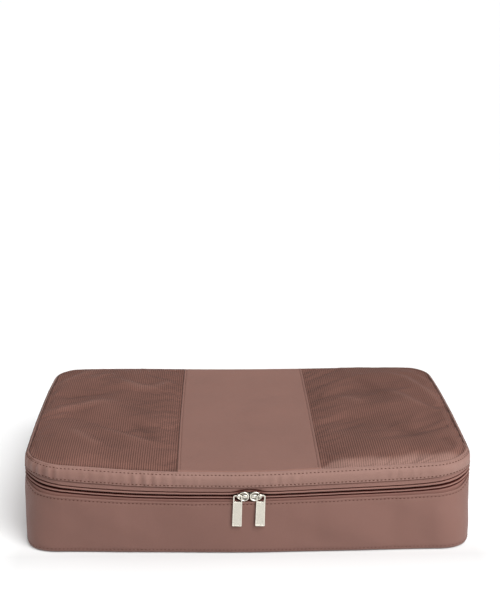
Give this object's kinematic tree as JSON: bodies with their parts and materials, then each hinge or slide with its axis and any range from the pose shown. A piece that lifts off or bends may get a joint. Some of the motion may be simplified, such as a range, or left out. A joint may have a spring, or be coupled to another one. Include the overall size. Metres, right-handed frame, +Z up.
{
  "type": "packing cube",
  "caption": "Soft rectangular zip-around packing cube in dusty brown nylon: shallow tray, hinged lid with mesh windows beside a plain centre panel, reverse-coil zipper with metal pull tabs.",
  "frame": {"origin": "centre of the underside, on the floor", "axes": "+Z up, the front with the zipper pulls faces -Y, +X to the right seen from the front"},
  "size_m": [0.4588, 0.3283, 0.0933],
  "materials": {
    "nylon": "smooth fine-weave nylon",
    "mesh_cloth": "fine warp-knit mesh",
    "zipper_tape": "woven tape",
    "zipper_coil": "nylon coil",
    "binding": "woven binding tape",
    "nickel": "satin nickel plate"
  },
  "bodies": {
    "base": {"bottom_panel": "nylon", "base_wall": "nylon", "back_panel_lower": "nylon", "bottom_seam_binding": "binding", "zipper_tape_lower": "zipper_tape", "zipper_coil_lower": "zipper_coil", "zipper_binding_lower": "binding", "back_seam_binding_left": "binding", "back_seam_binding_right": "binding"},
    "lid": {"lid_centre_panel": "nylon", "lid_mesh_window_left": "mesh_cloth", "lid_mesh_window_right": "mesh_cloth", "lid_band": "nylon", "back_panel_upper": "nylon", "mesh_seam_tape_left": "binding", "mesh_seam_tape_right": "binding", "lid_corner_binding_left": "binding", "lid_corner_binding_right": "binding", "lid_seam_binding": "binding", "zipper_tape_upper": "zipper_tape", "zipper_coil_upper": "zipper_coil", "zipper_binding_upper": "binding"},
    "slider_left": {"slider_left": "nickel"},
    "slider_right": {"slider_right": "nickel"},
    "pull_left": {"pull_left": "nickel"},
    "pull_right": {"pull_right": "nickel"}
  },
  "joints": [
    {"name": "lid_hinge", "type": "hinge", "parent": "base", "child": "lid", "pos_m": [0, 0.1603, 0.06618], "axis": [-1, 0, 0], "range_deg": [0, 180]},
    {"name": "slider_left_slide", "type": "slide", "parent": "base", "child": "slider_left", "axis": [-0.9992, 0.0273, 0.0283], "range_m": [0, 0.16]},
    {"name": "slider_right_slide", "type": "slide", "parent": "base", "child": "slider_right", "axis": [0.9992, 0.0273, 0.0283], "range_m": [0, 0.16]},
    {"name": "pull_left_swing", "type": "hinge", "parent": "slider_left", "child": "pull_left", "pos_m": [-0.01138, -0.16584, 0.06282], "axis": [-0.9992, 0.0273, 0.0283], "range_deg": [0, 150]},
    {"name": "pull_right_swing", "type": "hinge", "parent": "slider_right", "child": "pull_right", "pos_m": [0.01138, -0.16584, 0.06282], "axis": [-0.9992, -0.0273, -0.0283], "range_deg": [0, 150]}
  ]
}
